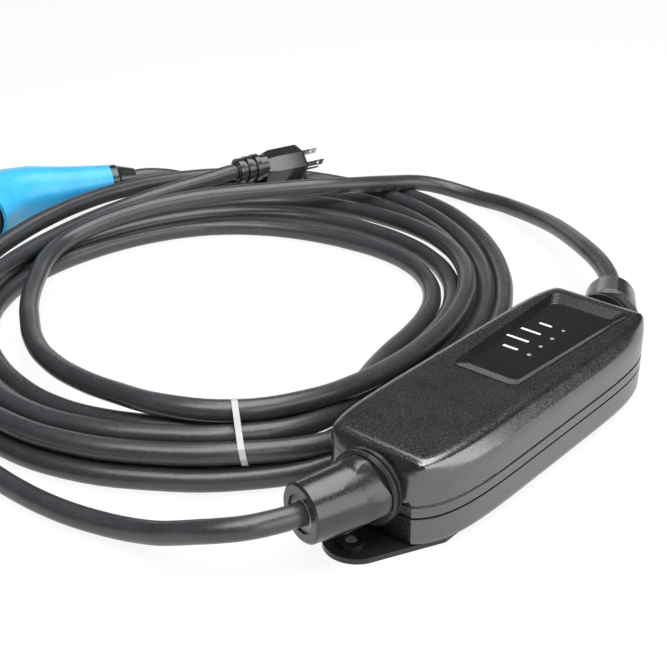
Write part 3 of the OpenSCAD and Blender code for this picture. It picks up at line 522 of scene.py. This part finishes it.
def add_node(tree, kind, inputs=None, **settings):
    """Adds a node, sets its properties, and gives each named input a value or a link."""
    made = tree.nodes.new(kind)
    for name, value in settings.items():
        setattr(made, name, value)
    for socket, value in (inputs or {}).items():
        if isinstance(value, bpy.types.NodeSocket):
            tree.links.new(value, made.inputs[socket])
        else:
            made.inputs[socket].default_value = value
    return made


def new_material(name):
    """Empty node material, ready for its nodes."""
    made = bpy.data.materials.new(name)
    made.use_nodes = True
    made.node_tree.nodes.clear()
    return made, made.node_tree


def add_noise(tree, place, size_mm, detail):
    """Adds a noise with features of a real size, and gives its value."""
    inputs = {"Vector": place, "Scale": 1 / (size_mm * MM), "Detail": detail}
    return add_node(tree, "ShaderNodeTexNoise", inputs).outputs["Fac"]


def moulded(name, dark, light, grain_mm, depth_mm, rough, rough_spread=0.08, speck=0.0, **sockets):
    """Moulded plastic or rubber: two tones in broad clouds or in specks, and a grain of a real size."""
    made, tree = new_material(name)
    place = add_node(tree, "ShaderNodeTexCoord").outputs["Object"]
    clouds = add_noise(tree, place, CLOUD_MM, 3.0)
    grain = add_noise(tree, place, grain_mm, 2.0)
    blend = add_node(tree, "ShaderNodeMix", {0: speck, 2: clouds, 3: grain})
    tone = add_node(tree, "ShaderNodeValToRGB", {"Fac": blend.outputs[0]})
    for stop, position, colour in zip(tone.color_ramp.elements, TONE_SPAN, (dark, light)):
        stop.position = position
        stop.color = linear(colour)
    spread = add_node(tree, "ShaderNodeMapRange", {
        "Value": grain, "From Min": SHINE_SPAN[0], "From Max": SHINE_SPAN[1],
        "To Min": rough - rough_spread, "To Max": rough + rough_spread})
    bump = add_node(tree, "ShaderNodeBump", {"Height": grain, "Strength": 1.0, "Distance": depth_mm * MM})
    inputs = {"Base Color": tone.outputs["Color"], "Roughness": spread.outputs["Result"],
              "Normal": bump.outputs["Normal"]}
    inputs.update({key.replace("_", " "): value for key, value in sockets.items()})
    shader = add_node(tree, "ShaderNodeBsdfPrincipled", inputs)
    add_node(tree, "ShaderNodeOutputMaterial", {"Surface": shader.outputs["BSDF"]})
    return made


# Spark-textured ABS of the box: a fine bead that breaks its highlights into specks
box_abs = moulded("abs_spark_texture", "#0d0e10", "#212225", 0.9, 0.025, 0.22, 0.08,
                  speck=0.5, Specular_IOR_Level=1.0, IOR=1.72)
# Smooth moulded ABS of the wall plate: dark, with clear reflections
plate_abs = moulded("abs_smooth_black", "#1c1c1e", "#222225", 2.5, 0.01, 0.2, 0.05)
# Glass-filled nylon of the gland bodies: grey-black with a soft shine
gland_nylon = moulded("nylon_black", "#202124", "#27282b", 1.2, 0.04, 0.34, 0.08)
# Moulded rubber of the boots and the plug: a clear streak of light along the top
boot_rubber = moulded("rubber_moulded", "#1c1d1f", "#252628", 1.0, 0.03, 0.22, 0.06,
                      speck=0.4, Specular_IOR_Level=0.75)
# Thermoplastic jacket of the leads: charcoal, dull with a soft sheen along the top
jacket = moulded("cable_jacket", "#2a2b2d", "#38393c", 1.0, 0.06, 0.33, 0.07,
                 speck=0.6, Specular_IOR_Level=0.65)
# Soft gasket of the box: a dull black line between the shells
gasket_rubber = moulded("rubber_gasket", "#080808", "#0c0c0c", 1.0, 0.02, 0.7)
# Soft seals in the glands: dull grey rings
seal_rubber = moulded("rubber_seal_grey", "#8a8a8c", "#9a9a9c", 1.0, 0.03, 0.6)
# Polished lens over the display: black, with sharp reflections
lens_gloss = moulded("acrylic_black", "#18181a", "#1c1c1e", 6.0, 0.004, 0.12, 0.03, Specular_IOR_Level=1.0)
# Moulded frame round the lens: black, with a sheen that the light breaks up on
frame_gloss = moulded("abs_gloss_black", "#101012", "#141416", 0.8, 0.02, 0.26, 0.08,
                      Specular_IOR_Level=0.45)
# Screen print on the lens: flat white
print_white = moulded("screen_print_white", "#e8e8e8", "#f4f4f4", 0.8, 0.01, 0.5)
# Diffusing caps of the status lights: small milky dots
light_cap = moulded("acrylic_milky", "#8e8e8a", "#a0a09c", 0.8, 0.01, 0.3)
# Nylon of the cable tie: milky, a little waxy
tie_nylon = moulded("nylon_white", "#a4a6a6", "#b0b2b2", 1.5, 0.02, 0.4)
# Polycarbonate of the handle: strong sky blue with a soft highlight
handle_blue = moulded("polycarbonate_blue", "#39a8de", "#43b0e4", 4.0, 0.006, 0.3, 0.04,
                      Specular_IOR_Level=0.35)
# Plated metal of the blades, pins, screws and spring: bright, with blurred reflections
plated = moulded("nickel_plated", "#c4c4c0", "#d2d2ce", 2.0, 0.01, 0.3, 0.06, Metallic=1.0)
# Glass epoxy of the board: deep green, with a soft shine
board_resin = moulded("glass_epoxy_green", "#0b3a1e", "#0f4726", 1.0, 0.01, 0.35)
# Cases of the relays: plain blue
part_blue = moulded("abs_blue", "#1b3a80", "#22468f", 1.0, 0.01, 0.4)
# Terminal blocks: plain green, lighter than the board
part_green = moulded("nylon_green", "#157a33", "#1a8a3c", 1.0, 0.01, 0.4)
# Light pipes: pale and polished
clear_pipe = moulded("acrylic_clear", "#d8e4d8", "#e6f0e6", 3.0, 0.01, 0.1)

LOOKS = [
    (box_abs, [box_top, box_base]),
    (plate_abs, [plate]),
    (gland_nylon, [mains_gland, charge_gland] + [cad[n] for n in (
        "gland_nuts", "current_transformer", "power_module", "connector_nose", "latch_lever")]),
    (boot_rubber, [mains_boot, charge_boot, plug, grip_boot]),
    (jacket, [mains_cord, charge_cord]),
    (gasket_rubber, [cad["shell_gasket"]]),
    (seal_rubber, [cad["mains_seal"], cad["charge_seal"]]),
    (lens_gloss, [cad["display_lens"]]),
    (frame_gloss, [frame_ring]),
    (print_white, [bars]),
    (light_cap, [lights]),
    (tie_nylon, [tie]),
    (handle_blue, [handle]),
    (plated, [spring] + [cad[n] for n in (
        "plate_screws", "case_screws", "board_screws", "plug_blades", "plug_earth_pin", "handle_screws",
        "connector_contacts", "latch_pin")]),
    (board_resin, [cad["circuit_board"]]),
    (part_blue, [cad["relays"]]),
    (part_green, [cad["terminal_blocks"]]),
    (clear_pipe, [cad["light_pipes"]]),
]
for look, pieces in LOOKS:
    for piece in pieces:
        piece.data.materials.clear()
        piece.data.materials.append(look)


def white_paper():
    """Pale paper: mostly its own white in the picture and in reflections, and it keeps the shadow."""
    made, tree = new_material("white_paper")
    path = add_node(tree, "ShaderNodeLightPath")
    camera_or_gloss = add_node(tree, "ShaderNodeMath", {
        0: path.outputs["Is Camera Ray"], 1: path.outputs["Is Glossy Ray"]}, operation="MAXIMUM")
    direct = add_node(tree, "ShaderNodeMath", {
        0: camera_or_gloss.outputs[0], 1: path.outputs["Is Transmission Ray"]}, operation="MAXIMUM")
    share = add_node(tree, "ShaderNodeMath", {0: direct.outputs[0], 1: FLOOR_GLOW}, operation="MULTIPLY")
    diffuse = add_node(tree, "ShaderNodeBsdfDiffuse", {"Color": linear("#ececec")})
    glow = add_node(tree, "ShaderNodeEmission", {"Color": (1, 1, 1, 1), "Strength": 1.0})
    mixed = add_node(tree, "ShaderNodeMixShader", {
        0: share.outputs[0], 1: diffuse.outputs[0], 2: glow.outputs[0]})
    add_node(tree, "ShaderNodeOutputMaterial", {"Surface": mixed.outputs[0]})
    return made


def white_floor():
    """Wide flat floor under the part."""
    shape = bmesh.new()
    bmesh.ops.create_grid(shape, x_segments=1, y_segments=1, size=FLOOR_HALF)
    floor = into_scene("floor", mesh_from(shape, "floor"))
    floor.data.materials.append(white_paper())


def studio_room():
    """Even white room all round, at a low level."""
    world = bpy.data.worlds.new("studio")
    bpy.context.scene.world = world
    world.use_nodes = True
    tree = world.node_tree
    tree.nodes.clear()
    background = add_node(tree, "ShaderNodeBackground", {"Color": (1, 1, 1, 1), "Strength": WORLD_LEVEL})
    add_node(tree, "ShaderNodeOutputWorld", {"Surface": background.outputs[0]})


def softbox(name, target, heading, height, distance, size, power):
    """Rectangular studio lamp that faces a point from a heading past +X and a height in degrees."""
    turn = math.radians(heading)
    rise = math.radians(height)
    way = Vector((math.cos(turn) * math.cos(rise), math.sin(turn) * math.cos(rise), math.sin(rise)))
    data = bpy.data.lights.new(name, "AREA")
    data.shape = "RECTANGLE"
    data.size, data.size_y = size
    data.energy = power
    made = into_scene(name, data)
    made.location = Vector(target) + distance * way
    made.rotation_euler = (-way).to_track_quat("-Z", "Y").to_euler()


# Stage
white_floor()
studio_room()
for lamp in LAMPS:
    softbox(*lamp)
bpy.context.scene.view_settings.view_transform = "Standard"
